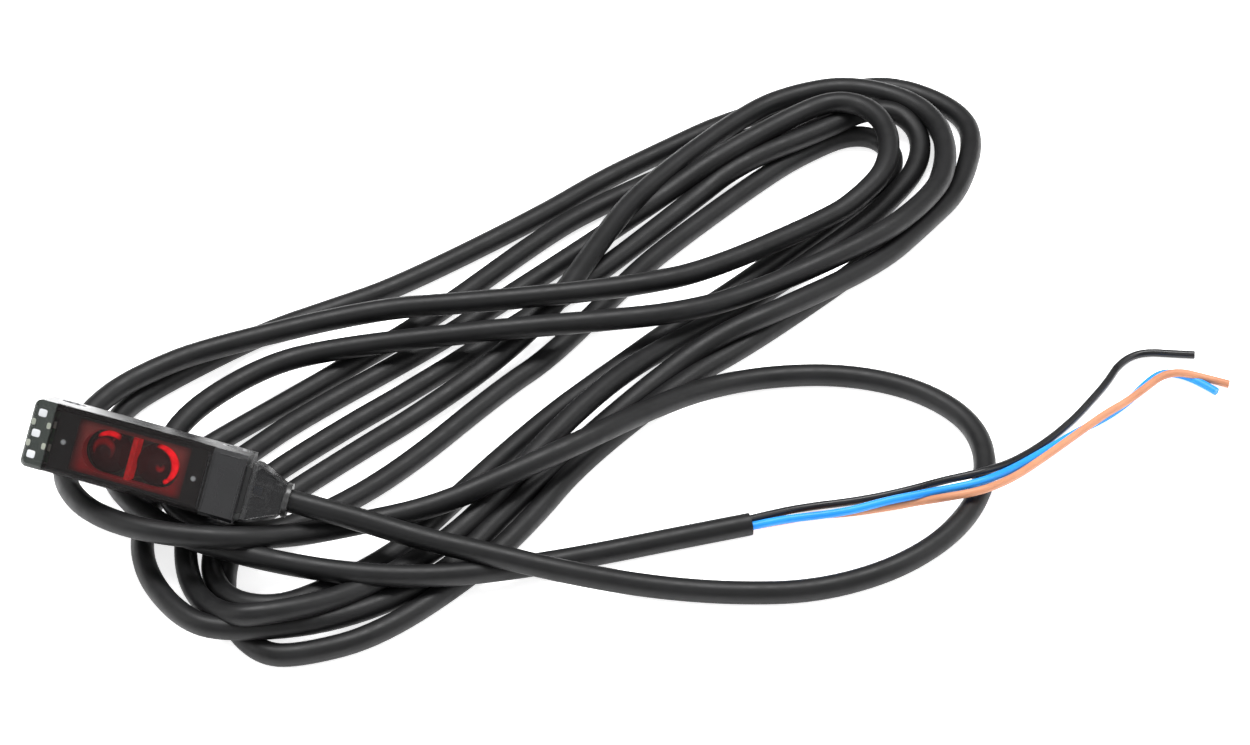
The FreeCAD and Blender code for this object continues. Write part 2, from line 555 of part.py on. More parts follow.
def layer(points, bottom, height, rounding):
    """A flat layer over a rounded outline."""
    corners = [Vec(x, y, bottom) for x, y in points]
    prism = Part.Face(Part.makePolygon(corners + corners[:1])).extrude(Vec(0, 0, height))
    uprights = [edge for edge in prism.Edges if runs_along(edge, "z")]
    return prism.makeFillet(rounding, uprights)


def cable_hank():
    """The coiled stretch as one solid: a long slanting loop, with a second layer where the turns cross."""
    base = [(-17.7, 20.7), (-17.7, 8.7), (-12.7, -3.3), (-8.7, -15.3), (-0.7, -21.3), (10.3, -23.3), (20.3, -19.3), (34.3, -3.3), (48.3, 17.7),
            (66.3, 33.7), (81.3, 46.7), (92.3, 62.7), (94.3, 75.7), (89.3, 84.7), (79.3, 86.7), (66.3, 83.7), (40.3, 64.7), (20.3, 48.7),
            (-3.7, 35.7), (-13.7, 28.7)]
    upper = [(-17.7, 15.7), (-16.7, 21.7), (-10.7, 28.7), (2.3, 34.7), (20.3, 38.7), (38.3, 42.7), (46.3, 56.7), (58.3, 74.7), (71.3, 82.7),
             (82.3, 82.7), (90.3, 75.7), (90.3, 60.7), (80.3, 47.7), (62.3, 34.7), (45.3, 27.7), (20.3, 26.7), (2.3, 19.7), (-6.7, 11.7),
             (-12.7, 11.7)]
    deep = dim("hank_layer")
    corner = 2.5
    solid = layer(base, FLOOR, deep, corner)
    solid = solid.fuse(layer(upper, FLOOR + deep / 2, deep * 1.5, corner)).removeSplitter()
    obj = doc.addObject("Part::Feature", "cable_hank")
    obj.Shape = solid
    keep(obj, "cable_hank")


housing()
front_cover()
indicator_window()
mask_plate()
lens_frame()
lens("transmitter_lens", LENS_PLACES["transmitter"])
lens("receiver_lens", LENS_PLACES["receiver"])
optics()
main_board()
board_parts()
bushes()
cable_end_cap()
strain_relief()
inner_wires()
tube("cable_lead", LEAD, "cord_radius")
cable_hank()
tube("cable_tail", TAIL, "cord_radius")
for core_name, core_route in CORES.items():
    tube(core_name, core_route, "core_radius")

doc.recompute()
for obj in doc.Objects:
    if "Invalid" in obj.State or "Error" in obj.State:
        raise RuntimeError("%s failed: %s" % (obj.Label, obj.State))
os.makedirs("parts", exist_ok=True)
for part in parts:
    if part.Shape.isNull() or not part.Shape.isValid():
        raise RuntimeError("%s has no valid shape" % part.Label)
    part.Shape.exportStep("parts/%s.step" % part.Label)
print("%d sub-parts" % len(parts))
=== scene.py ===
import math

import bmesh
import bpy
import numpy as np
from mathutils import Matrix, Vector


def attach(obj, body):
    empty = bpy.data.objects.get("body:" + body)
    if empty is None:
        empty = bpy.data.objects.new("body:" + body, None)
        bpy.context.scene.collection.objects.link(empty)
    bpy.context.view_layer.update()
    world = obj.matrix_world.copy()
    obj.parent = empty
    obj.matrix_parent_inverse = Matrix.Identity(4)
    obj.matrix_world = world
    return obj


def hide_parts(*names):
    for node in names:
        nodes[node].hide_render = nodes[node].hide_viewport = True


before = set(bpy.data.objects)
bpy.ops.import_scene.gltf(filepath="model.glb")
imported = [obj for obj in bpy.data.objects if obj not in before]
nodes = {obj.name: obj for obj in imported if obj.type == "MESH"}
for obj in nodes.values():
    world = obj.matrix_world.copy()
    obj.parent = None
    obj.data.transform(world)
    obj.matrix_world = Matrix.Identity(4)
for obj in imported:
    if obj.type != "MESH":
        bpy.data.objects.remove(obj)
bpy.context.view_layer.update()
mm = 0.001
floorHeight = -9.02 * mm
# the sensor leans on its own lead: roll, pitch and yaw of its body
leanAngles = (math.radians(-41.0), math.radians(10.3), math.radians(-11.5))
print("frame loaded, %d nodes" % len(nodes))


cameraSettings = {"place": (0.04721, -0.39145, 0.36995), "tilt": 48.0, "lens": 130.0, "sensor": 36.0,
                  "nearest": 0.01}


def makeCamera(settings):
    data = bpy.data.cameras.new("productCamera")
    data.lens = settings["lens"]
    data.sensor_width = settings["sensor"]
    data.clip_start = settings["nearest"]
    camera = bpy.data.objects.new("productCamera", data)
    bpy.context.scene.collection.objects.link(camera)
    camera.location = settings["place"]
    camera.rotation_euler = (math.radians(settings["tilt"]), 0, 0)
    bpy.context.scene.camera = camera


makeCamera(cameraSettings)
print("camera placed")


# the lead: x, y and height of the centre line above the floor, in millimetres
leadOut = [
    (4.3, -3.6, 10.5), (9.1, -4.6, 9.6), (15.8, -5.5, 8.0), (22.8, -6.8, 6.2), (31.8, -8.8, 5.3),
    (40.8, -10.7, 4.2), (50.3, -10.5, 1.7), (60.3, -11.3, 1.4), (70.3, -10.9, 1.4), (80.3, -6.8, 1.4),
    (87.8, 0.2, 1.4), (91.6, 9.2, 1.4), (90.6, 18.2, 1.4), (84.3, 24.5, 1.4), (75.3, 27.5, 1.4),
    (65.8, 27.3, 1.4), (57.3, 23.9, 2.5), (49.8, 17.5, 4.5), (42.8, 10.5, 6.4), (34.3, 4.9, 6.2),
    (24.8, 0.5, 4.5), (15.8, -2.7, 4.7), (7.3, -6.9, 6.5), (-1.2, -10.8, 9.9), (-10.2, -9.1, 9.8),
    (-17.2, -3.5, 7.8), (-21.0, 5.2, 5.1), (-20.2, 14.2, 4.2), (-16.7, 20.7, 4.3), (-11.2, 25.4, 4.3)]
# each stretch of the hank, and the end turn after it: reach sideways, fullness, heights on the turn
hankLegs = [
    {"points": [(-4.7, 29.2, 4.3), (15.3, 35.7, 5.0), (26.3, 35.2, 6.5), (38.8, 36.2, 7.1), (49.3, 38.7, 6.6),
                (57.8, 42.7, 5.5), (73.8, 54.2, 4.6), (77.5, 57.5, 5.2)],
     "reach": (7.0, 5.0), "fullness": 1.0, "heights": (5.8, 6.3, 6.6, 6.5)},
    {"points": [(71.5, 74.8, 6.2), (59.8, 66.2, 5.2), (53.3, 61.7, 3.0), (42.8, 52.7, 1.4), (30.3, 40.2, 1.4),
                (22.8, 32.7, 1.4), (6.8, 19.2, 1.4), (0.8, 12.7, 1.4)],
     "reach": (-8.6, -2.9), "fullness": 0.98, "heights": (1.4, 1.6, 2.6, 4.9)},
    {"points": [(5.3, -19.8, 6.4), (15.8, -13.8, 3.8), (26.8, -2.3, 1.8), (33.8, 7.2, 3.4), (41.3, 18.2, 3.9),
                (47.8, 26.7, 3.4), (55.3, 34.7, 1.6), (63.3, 41.2, 1.4), (77.8, 56.2, 1.4), (81.5, 61.0, 1.4)],
     "reach": (8.0, 8.8), "fullness": 0.92, "heights": (1.8, 2.6, 3.4, 3.9)},
    {"points": [(73.5, 73.0, 4.0), (62.3, 66.2, 3.9), (55.8, 60.7, 1.8), (42.8, 45.7, 1.4), (31.3, 34.7, 1.4),
                (20.3, 24.2, 1.4), (13.3, 18.2, 1.4), (2.3, 7.7, 1.4)],
     "reach": (-7.5, -7.1), "fullness": 1.05, "heights": (1.4, 1.4, 3.2, 4.3)},
    {"points": [(9.3, -14.8, 3.6), (19.8, -4.8, 1.4), (25.3, 3.2, 1.4), (37.3, 19.2, 1.4), (45.3, 27.7, 1.4),
                (52.8, 35.7, 1.4), (60.8, 43.2, 1.4), (68.3, 51.2, 1.4), (78.5, 62.0, 1.4)],
     "reach": (6.8, 6.4), "fullness": 0.88, "heights": (1.4, 1.4, 1.4, 1.4)},
    {"points": [(71.5, 71.6, 1.4), (66.3, 67.2, 1.4), (51.8, 51.2, 1.4), (46.8, 44.2, 1.4), (37.8, 30.7, 1.4),
                (31.8, 24.7, 1.4), (19.3, 9.2, 1.4), (9.3, -0.3, 2.6)],
     "reach": (-6.4, -9.7), "fullness": 1.04, "heights": (4.2, 3.9, 3.6)},
    {"points": [(-7.7, 16.2, 4.2), (1.8, 25.7, 4.2), (10.3, 29.2, 4.2), (31.8, 30.2, 6.6), (44.3, 31.2, 7.1),
                (54.3, 33.7, 6.3), (62.8, 38.7, 4.8), (78.8, 48.7, 5.4), (85.3, 55.7, 5.2)],
     "reach": (10.3, 8.4), "fullness": 1.15, "heights": (4.8, 4.4, 4.2, 4.2)},
    {"points": [(69.8, 80.2, 4.2), (63.3, 76.2, 4.2), (49.3, 60.2, 4.2), (44.8, 51.7, 4.2), (38.3, 37.2, 4.2),
                (30.8, 28.2, 2.7), (20.8, 19.2, 1.4), (15.8, 14.7, 1.4), (4.3, 3.7, 1.4)],
     "reach": (-7.2, -4.0), "fullness": 1.0, "heights": (1.4, 1.4, 1.4, 1.4)},
    {"points": [(9.5, -21.5, 1.4), (18.3, -18.3, 1.4), (29.3, -7.8, 1.4), (35.8, 1.2, 1.4), (41.8, 11.7, 1.4),
                (55.3, 27.2, 1.4), (62.8, 33.2, 1.4), (77.3, 47.7, 1.4), (83.3, 55.2, 1.4)],
     "reach": (9.7, 7.7), "fullness": 1.2, "heights": (1.4, 1.4, 1.4, 1.4)},
    {"points": [(76.8, 80.7, 1.4), (62.3, 73.7, 1.4), (55.8, 68.7, 1.4), (42.8, 59.7, 1.4), (36.3, 53.7, 1.4),
                (21.3, 36.7, 1.4), (13.3, 29.7, 1.4), (6.8, 23.7, 1.4), (-4.7, 13.7, 1.4)],
     "reach": (-8.7, -1.8), "fullness": 1.15, "heights": (1.4, 1.6, 2.8, 3.9)},
    {"points": [(0.3, -20.3, 4.1), (13.3, -17.3, 2.6), (25.8, -8.3, 1.4), (30.8, -0.3, 1.4), (36.3, 7.7, 1.4),
                (50.3, 25.7, 1.4), (59.3, 32.7, 3.6), (66.8, 36.7, 4.2), (79.8, 47.2, 2.8), (86.3, 56.2, 2.2)],
     "reach": (11.1, 6.6), "fullness": 1.3, "heights": (1.8, 1.5, 1.4, 1.4)},
    {"points": [(78.3, 85.2, 1.4), (61.3, 78.2, 1.4), (51.8, 71.2, 1.4), (43.8, 65.2, 1.4), (36.3, 58.2, 1.4),
                (18.3, 44.2, 1.4), (9.8, 39.7, 1.4), (1.3, 35.2, 1.4), (-11.2, 25.2, 1.4)],
     "reach": None},
]
leadBack = [
    (-15.2, 20.7, 1.4), (-16.5, 15.2, 1.5), (-15.2, 7.2, 2.9), (-11.7, -0.3, 5.2), (-6.2, -6.5, 6.8),
    (0.3, -9.5, 6.8), (7.3, -11.3, 6.3), (14.8, -12.1, 5.5), (22.3, -11.7, 4.6), (29.3, -10.1, 3.6),
    (36.3, -7.1, 2.0), (44.3, -4.5, 1.4), (53.3, -1.9, 1.4), (62.3, 0.6, 1.4)]
coreRoutes = {
    "Black": [(62.2, 1.0, 1.8), (66.1, 3.0, 1.2), (70.3, 4.6, 0.6), (74.5, 5.3, 0.6), (78.8, 6.3, 0.7),
              (82.4, 6.7, 1.5), (85.7, 6.6, 2.9), (88.8, 6.5, 3.9), (91.5, 7.6, 3.8), (94.7, 10.6, 2.4),
              (98.8, 15.4, 0.9), (102.5, 19.8, 0.5), (105.6, 24.2, 0.5), (107.6, 27.3, 0.5),
              (109.0, 30.1, 0.5), (110.9, 32.0, 0.5), (113.1, 32.7, 0.5), (116.1, 32.4, 0.5),
              (118.9, 32.2, 0.5)],
    "Blue": [(62.4, 0.1, 1.5), (66.1, 1.5, 1.3), (70.2, 2.0, 1.4), (74.5, 2.9, 1.4), (78.8, 4.5, 1.5),
             (82.4, 4.9, 2.1), (85.6, 4.9, 3.0), (88.7, 4.8, 3.9), (91.4, 5.9, 3.9), (94.7, 9.2, 2.6),
             (98.8, 13.9, 1.1), (103.8, 18.5, 0.5), (106.9, 20.6, 0.5), (109.8, 23.4, 0.5),
             (112.2, 26.7, 0.5), (114.3, 28.8, 0.5), (116.5, 28.7, 0.5), (118.9, 27.3, 0.5),
             (121.0, 25.3, 0.5)],
    "Brown": [(62.3, 0.8, 0.8), (66.1, 2.1, 0.5), (70.2, 3.1, 0.5), (74.5, 3.5, 0.5), (78.7, 4.3, 0.6),
              (82.4, 4.7, 1.1), (85.5, 3.8, 2.7), (88.6, 3.3, 3.9), (91.3, 4.3, 3.9), (94.6, 7.6, 2.6),
              (98.6, 12.1, 1.7), (103.7, 17.3, 1.5), (106.7, 20.2, 1.5), (109.4, 22.3, 1.5),
              (112.2, 25.1, 1.5), (114.3, 27.3, 1.5), (116.7, 28.0, 1.4), (119.3, 27.7, 0.8),
              (122.7, 26.7, 0.5)],
}
cordRoundness = {"along": 8, "around": 6}
jacketSettings = {"radius": 1.4, "length": 1.99, "exit": (7.59, -4.32, 0.89)}
coreSettings = {"radius": 0.5, "length": 0.070, "exit": (62.3, 0.6, -7.62)}


def endTurn(start, end, reach, fullness, heights):
    # middle - half * sign(cos a) |cos a|^fullness + reach * sin(a)^fullness, for angles a between 0 and pi
    angle = np.pi * np.arange(1, len(heights) + 1) / (len(heights) + 1)
    middle = (np.array(start[:2]) + np.array(end[:2])) / 2
    half = (np.array(end[:2]) - np.array(start[:2])) / 2
    along = np.sign(np.cos(angle)) * np.abs(np.cos(angle)) ** fullness
    across = np.sin(angle) ** fullness
    flat = middle - along[:, None] * half + across[:, None] * np.array(reach)
    return np.column_stack([flat, heights])


def wholeLead():
    runs = [np.array(leadOut, float)]
    for leg, after in zip(hankLegs, hankLegs[1:] + [None]):
        runs.append(np.array(leg["points"], float))
        if leg["reach"] is not None:
            runs.append(endTurn(leg["points"][-1], after["points"][0], leg["reach"], leg["fullness"],
                                leg["heights"]))
    runs.append(np.array(leadBack, float))
    return np.vstack(runs)


def makeCord(name, points, radius):
    # one open spline through the whole route; heights are counted from the floor
    data = bpy.data.curves.new(name, "CURVE")
    data.dimensions = "3D"
    spline = data.splines.new("NURBS")
    spline.points.add(len(points) - 1)
    placed = np.column_stack([np.array(points, float) * mm + (0, 0, floorHeight), np.ones(len(points))])
    spline.points.foreach_set("co", placed.ravel())
    spline.order_u = 3
    spline.use_endpoint_u = True
    spline.resolution_u = cordRoundness["along"]
    data.bevel_depth = radius * mm
    data.bevel_resolution = cordRoundness["around"]
    data.use_fill_caps = True
    cord = bpy.data.objects.new(name, data)
    bpy.context.scene.collection.objects.link(cord)
    return cord


jacket = makeCord("leadJacket", wholeLead(), jacketSettings["radius"])
cores = {}
for coreColour, coreRoute in coreRoutes.items():
    cores[coreColour] = makeCord("core" + coreColour, coreRoute, coreSettings["radius"])
print("cords laid, %d points in the lead" % len(jacket.data.splines[0].points))


def newMaterial(name, colour, rough, specular=0.5, coat=0.0, metal=0.0):
    material = bpy.data.materials.new(name)
    material.use_nodes = True
    shader = material.node_tree.nodes["Principled BSDF"]
    shader.inputs["Base Color"].default_value = (*colour, 1)
    shader.inputs["Roughness"].default_value = rough
    shader.inputs["Specular IOR Level"].default_value = specular
    shader.inputs["Coat Weight"].default_value = coat
    shader.inputs["Metallic"].default_value = metal
    return material, material.node_tree, shader


def objectPoint(tree):
    return tree.nodes.new("ShaderNodeTexCoord").outputs["Object"]


def sensorPoint(tree, centre=(0, 0, 0)):
    # the point in millimetres along the sensor's own axes: lead end, optical face to back, width
    turned = tree.nodes.new("ShaderNodeMapping")
    turned.vector_type = "TEXTURE"
    turned.inputs["Rotation"].default_value = leanAngles
    turned.inputs["Scale"].default_value = (mm, mm, mm)
    tree.links.new(objectPoint(tree), turned.inputs["Vector"])
    moved = tree.nodes.new("ShaderNodeVectorMath")
    moved.operation = "SUBTRACT"
    tree.links.new(turned.outputs["Vector"], moved.inputs[0])
    moved.inputs[1].default_value = centre
    return moved.outputs["Vector"]


def noise(tree, point, scale, detail=3.0):
    grain = tree.nodes.new("ShaderNodeTexNoise")
    grain.inputs["Scale"].default_value = scale
    grain.inputs["Detail"].default_value = detail
    tree.links.new(point, grain.inputs["Vector"])
    return grain.outputs["Fac"]


def remap(tree, value, low, high, toLow, toHigh):
    ranged = tree.nodes.new("ShaderNodeMapRange")
    tree.links.new(value, ranged.inputs["Value"])
    for socket, number in zip(("From Min", "From Max", "To Min", "To Max"), (low, high, toLow, toHigh)):
        ranged.inputs[socket].default_value = number
    return ranged.outputs["Result"]


def sums(tree, operation, first, second=0.0):
    node = tree.nodes.new("ShaderNodeMath")
    node.operation = operation
    for socket, value in zip(node.inputs, (first, second)):
        if isinstance(value, (int, float)):
            socket.default_value = value
        else:
            tree.links.new(value, socket)
    return node.outputs[0]


def blendColours(tree, factor, first, second):
    mix = tree.nodes.new("ShaderNodeMix")
    mix.data_type = "RGBA"
    tree.links.new(factor, mix.inputs["Factor"])
    for socket, colour in ((mix.inputs[6], first), (mix.inputs[7], second)):
        if isinstance(colour, tuple):
            socket.default_value = (*colour, 1)
        else:
            tree.links.new(colour, socket)
    return mix.outputs[2]


def addBump(tree, shader, height, depth, strength):
    bump = tree.nodes.new("ShaderNodeBump")
    bump.inputs["Distance"].default_value = depth
    bump.inputs["Strength"].default_value = strength
    tree.links.new(height, bump.inputs["Height"])
    tree.links.new(bump.outputs["Normal"], shader.inputs["Normal"])


# handling marks: how many grains across a worn patch and a change of gloss, and how strong each is
markSettings = {"patchGrains": 14, "patchRange": (0.35, 0.7), "glossGrains": 5, "glossRange": (0.3, 0.7),
                "smoother": 0.05, "rougher": 0.07, "grainDetail": 4.0, "bump": 0.35}


def moulded(name, colour, wearAndHighlight, rough, grain, depth=0.00002, specular=0.5):
    # moulded plastic or rubber: fine grain in the bump, handling marks in the gloss and colour
    marks = markSettings
    material, tree, shader = newMaterial(name, colour, rough, specular)
    point = objectPoint(tree)
    patches = remap(tree, noise(tree, point, grain / marks["patchGrains"]), *marks["patchRange"], 0, 1)
    tree.links.new(blendColours(tree, patches, colour, wearAndHighlight), shader.inputs["Base Color"])
    gloss = remap(tree, noise(tree, point, grain / marks["glossGrains"]), *marks["glossRange"],
                  rough - marks["smoother"], rough + marks["rougher"])
    tree.links.new(gloss, shader.inputs["Roughness"])
    addBump(tree, shader, noise(tree, point, grain, marks["grainDetail"]), depth, marks["bump"])
    return material


clearGrain = {"grain": 500.0, "depth": 0.000002}


def clearPlastic(name, colour, wearAndHighlight, rough, alpha, specular):
    material = moulded(name, colour, wearAndHighlight, rough, clearGrain["grain"], clearGrain["depth"], specular)
    material.node_tree.nodes["Principled BSDF"].inputs["Alpha"].default_value = alpha
    return material


def ring(tree, point, centre, radius, soft):
    # 1 inside a circle across the optical axis, falling to 0 over a soft edge
    flat = tree.nodes.new("ShaderNodeVectorMath")
    flat.operation = "MULTIPLY"
    flat.inputs[1].default_value = (1, 0, 1)
    tree.links.new(point, flat.inputs[0])
    away = tree.nodes.new("ShaderNodeVectorMath")
    away.operation = "DISTANCE"
    away.inputs[1].default_value = (centre[0], 0, centre[1])
    tree.links.new(flat.outputs[0], away.inputs[0])
    return remap(tree, away.outputs["Value"], radius - soft, radius + soft, 1, 0)


def crescent(tree, point, outer, inner, soft):
    inside = ring(tree, point, outer[:2], outer[2], soft)
    hollow = ring(tree, point, inner[:2], inner[2], soft)
    return sums(tree, "MULTIPLY", inside, sums(tree, "SUBTRACT", 1.0, hollow))


# circles of painted reflection on the dome as (sideways, upwards, radius) in millimetres from its middle
lensSettings = {
    "transmitter": {"middle": -14.15, "glow": 1.6,
                    "bright": ((-0.3, 0.0, 2.45), (-0.25, -0.6, 2.45)), "only": (-0.6, 2.1, 1.2),
                    "dim": ((-0.8, 0.2, 1.25), (-0.75, -0.35, 1.1)), "dimShare": 0.16,
                    "spot": (0.1, 1.55, 0.12), "spotShare": 0.1},
    "receiver": {"middle": -8.35, "glow": 2.0,
                 "bright": ((0.0, 0.0, 2.5), (-0.5, -0.28, 2.3)), "only": (1.6, 0.8, 2.3),
                 "dim": ((0.5, -0.25, 0.4), (0.45, 0.1, 0.35)), "dimShare": 0.22,
                 "spot": (1.5, -1.75, 0.3), "spotShare": 0.8},
}
domeSettings = {"black": (0.006, 0.001, 0.001), "lit": (0.6, 0.006, 0.008), "lamp": (1.0, 0.004, 0.012, 1),
                "rough": 0.2, "specular": 0.3, "haze": (0.0, 0.3, 2.0), "hazeEdge": 1.1, "hazeShare": 0.02,
                "brightEdge": 0.1, "onlyEdge": 0.3, "dimEdge": 0.2, "spotEdge": 0.12,
                "cloud": 1.1, "cloudDetail": 4.0, "cloudRange": (0.3, 0.7, 0.55, 1.1),
                "ripple": 0.7, "rippleDepth": 0.000004, "rippleStrength": 0.2}


def disc(tree, point, circle, edge):
    return ring(tree, point, circle[:2], circle[2], edge)


def lensMaterial(name, lens):
    # black glossy dome with painted reflections: a bright crescent, a fainter arc, a small spot and a wide
    # haze, painted red and glowing
    dome = domeSettings
    material, tree, shader = newMaterial(name, dome["black"], dome["rough"], dome["specular"])
    point = sensorPoint(tree, (lens["middle"], 0, 0))
    bright = sums(tree, "MULTIPLY", crescent(tree, point, *lens["bright"], dome["brightEdge"]),
                  disc(tree, point, lens["only"], dome["onlyEdge"]))
    dim = sums(tree, "MULTIPLY", crescent(tree, point, *lens["dim"], dome["dimEdge"]), lens["dimShare"])
    spot = sums(tree, "MULTIPLY", disc(tree, point, lens["spot"], dome["spotEdge"]), lens["spotShare"])
    haze = sums(tree, "MULTIPLY", disc(tree, point, dome["haze"], dome["hazeEdge"]), dome["hazeShare"])
    cloud = remap(tree, noise(tree, point, dome["cloud"], dome["cloudDetail"]), *dome["cloudRange"])
    light = sums(tree, "ADD", sums(tree, "ADD", bright, dim), sums(tree, "ADD", spot, haze))
    light = sums(tree, "MULTIPLY", light, cloud)
    tree.links.new(blendColours(tree, light, dome["black"], dome["lit"]), shader.inputs["Base Color"])
    # the painted reflections glow red: the dome gives no light of its own
    shader.inputs["Emission Color"].default_value = dome["lamp"]
    tree.links.new(sums(tree, "MULTIPLY", light, lens["glow"]), shader.inputs["Emission Strength"])
    addBump(tree, shader, noise(tree, point, dome["ripple"]), dome["rippleDepth"], dome["rippleStrength"])
    return material


# the tinted block, in millimetres from its middle: where its painted glow starts and ends fading to painted
# shade sideways and upwards
blockSettings = {"middle": (-11.25, 0, 0), "plain": (0.1, 0.01, 0.01), "rough": 0.4, "specular": 0.2,
                 "shades": ((0.15, 0.008, 0.009), (0.15, 0.07, 0.06)), "shadeRange": (-2.4, 3.2, 0, 1),
                 "sideFade": (5.7, 7.0, 1.0, 0.05), "endFade": (2.5, 3.4, 1.0, 0.05),
                 "rim": (0.006, 0.004, 0.004), "lamp": (0.8, 0.012, 0.014, 1), "glow": 0.2,
                 "cloud": 0.9, "cloudDetail": 4.0, "cloudRange": (0.3, 0.7, 0.6, 1.15),
                 "ripple": 2.0, "rippleDepth": 0.000004, "rippleStrength": 0.3}


def redFrame(block):
    # tinted block with a painted glow, as if lit from inside, fading to painted shade, black at its rim: redder
    # low down, browner along the top
    material, tree, shader = newMaterial("redOpticBlock", block["plain"], block["rough"], block["specular"])
    point = sensorPoint(tree, block["middle"])
    apart = tree.nodes.new("ShaderNodeSeparateXYZ")
    tree.links.new(point, apart.inputs[0])
    upper = remap(tree, apart.outputs["Z"], *block["shadeRange"])
    colour = blendColours(tree, upper, *block["shades"])
    sides = remap(tree, sums(tree, "ABSOLUTE", apart.outputs["X"]), *block["sideFade"])
    ends = remap(tree, sums(tree, "ABSOLUTE", apart.outputs["Z"]), *block["endFade"])
    fade = sums(tree, "MULTIPLY", sides, ends)
    tree.links.new(blendColours(tree, fade, block["rim"], colour), shader.inputs["Base Color"])
    cloud = remap(tree, noise(tree, point, block["cloud"], block["cloudDetail"]), *block["cloudRange"])
    # painted glow, fading with the painted rim shade: the block gives no light of its own
    shader.inputs["Emission Color"].default_value = block["lamp"]
    tree.links.new(sums(tree, "MULTIPLY", sums(tree, "MULTIPLY", fade, cloud), block["glow"]),
                   shader.inputs["Emission Strength"])
    addBump(tree, shader, noise(tree, point, block["ripple"]), block["rippleDepth"], block["rippleStrength"])
    return material


# the pale grey of the pips is a painted highlight
maskSettings = {"black": (0.006, 0.006, 0.006), "wearAndHighlight": (0.45, 0.47, 0.48), "rough": 0.5, "specular": 0.3,
                "pips": ((-19.45, -0.15), (-3.5, -0.25)), "pipRadius": 0.3, "pipEdge": 0.12,
                "grain": 6.0, "grainDepth": 0.000004, "grainStrength": 0.3}


def maskPlate(mask):
    # black plate whose two locating pips carry a painted highlight in grey
    material, tree, shader = newMaterial("blackMask", mask["black"], mask["rough"], mask["specular"])
    point = sensorPoint(tree)
    first, second = (ring(tree, point, pip, mask["pipRadius"], mask["pipEdge"]) for pip in mask["pips"])
    pips = sums(tree, "MAXIMUM", first, second)
    tree.links.new(blendColours(tree, pips, mask["black"], mask["wearAndHighlight"]), shader.inputs["Base Color"])
    addBump(tree, shader, noise(tree, point, mask["grain"]), mask["grainDepth"], mask["grainStrength"])
    return material


dividerSettings = {"middle": (-11.25, 0, 0), "colour": (0.25, 0.004, 0.004), "rough": 0.35, "specular": 0.3,
                   "lamp": (1.0, 0.01, 0.012, 1), "glow": 0.55, "cloud": 1.6, "cloudDetail": 4.0,
                   "cloudRange": (0.3, 0.7, 0.5, 1.3), "ripple": 2.0, "rippleDepth": 0.000004,
                   "rippleStrength": 0.2}


def redDivider(bar):
    material, tree, shader = newMaterial("redDivider", bar["colour"], bar["rough"], bar["specular"])
    point = sensorPoint(tree, bar["middle"])
    cloud = remap(tree, noise(tree, point, bar["cloud"], bar["cloudDetail"]), *bar["cloudRange"])
    # painted red glow, clouded by noise: the divider gives no light of its own
    shader.inputs["Emission Color"].default_value = bar["lamp"]
    tree.links.new(sums(tree, "MULTIPLY", cloud, bar["glow"]), shader.inputs["Emission Strength"])
    addBump(tree, shader, noise(tree, point, bar["ripple"]), bar["rippleDepth"], bar["rippleStrength"])
    return material


boardSettings = {"plain": (0.02, 0.09, 0.04), "rough": 0.35, "specular": 0.5, "coat": 0.4,
                 "lacquer": (0.015, 0.07, 0.03), "track": (0.05, 0.16, 0.06), "cells": 700.0,
                 "trackRange": (0.03, 0.08, 1, 0), "trackDepth": 0.00003, "trackStrength": 0.3}


def circuitBoard(name, board):
    # green lacquer that is paler over the tracks: the tracks are bands of a voronoi pattern
    material, tree, shader = newMaterial(name, board["plain"], board["rough"], board["specular"], board["coat"])
    cells = tree.nodes.new("ShaderNodeTexVoronoi")
    cells.feature = "DISTANCE_TO_EDGE"
    cells.inputs["Scale"].default_value = board["cells"]
    tree.links.new(objectPoint(tree), cells.inputs["Vector"])
    track = remap(tree, cells.outputs["Distance"], *board["trackRange"])
    tree.links.new(blendColours(tree, track, board["lacquer"], board["track"]), shader.inputs["Base Color"])
    addBump(tree, shader, track, board["trackDepth"], board["trackStrength"])
    return material


metalSettings = {"specular": 0.5, "coat": 0.0, "metal": 1.0, "lines": 4.0, "wander": 0.6, "lineDepth": 0.00002,
                 "lineStrength": 0.25, "film": 0.9, "filmRange": (0.3, 0.7), "smoother": 0.06, "rougher": 0.1}


def turnedMetal(name, colour, rough):
    # turning lines round the bore, and a cloudy film in the gloss
    metal = metalSettings
    material, tree, shader = newMaterial(name, colour, rough, metal["specular"], metal["coat"], metal["metal"])
    point = sensorPoint(tree)
    lines = tree.nodes.new("ShaderNodeTexWave")
    lines.bands_direction = "Z"
    lines.inputs["Scale"].default_value = metal["lines"]
    lines.inputs["Distortion"].default_value = metal["wander"]
    tree.links.new(point, lines.inputs["Vector"])
    addBump(tree, shader, lines.outputs["Fac"], metal["lineDepth"], metal["lineStrength"])
    film = remap(tree, noise(tree, point, metal["film"]), *metal["filmRange"], rough - metal["smoother"],
                 rough + metal["rougher"])
    tree.links.new(film, shader.inputs["Roughness"])
    return material


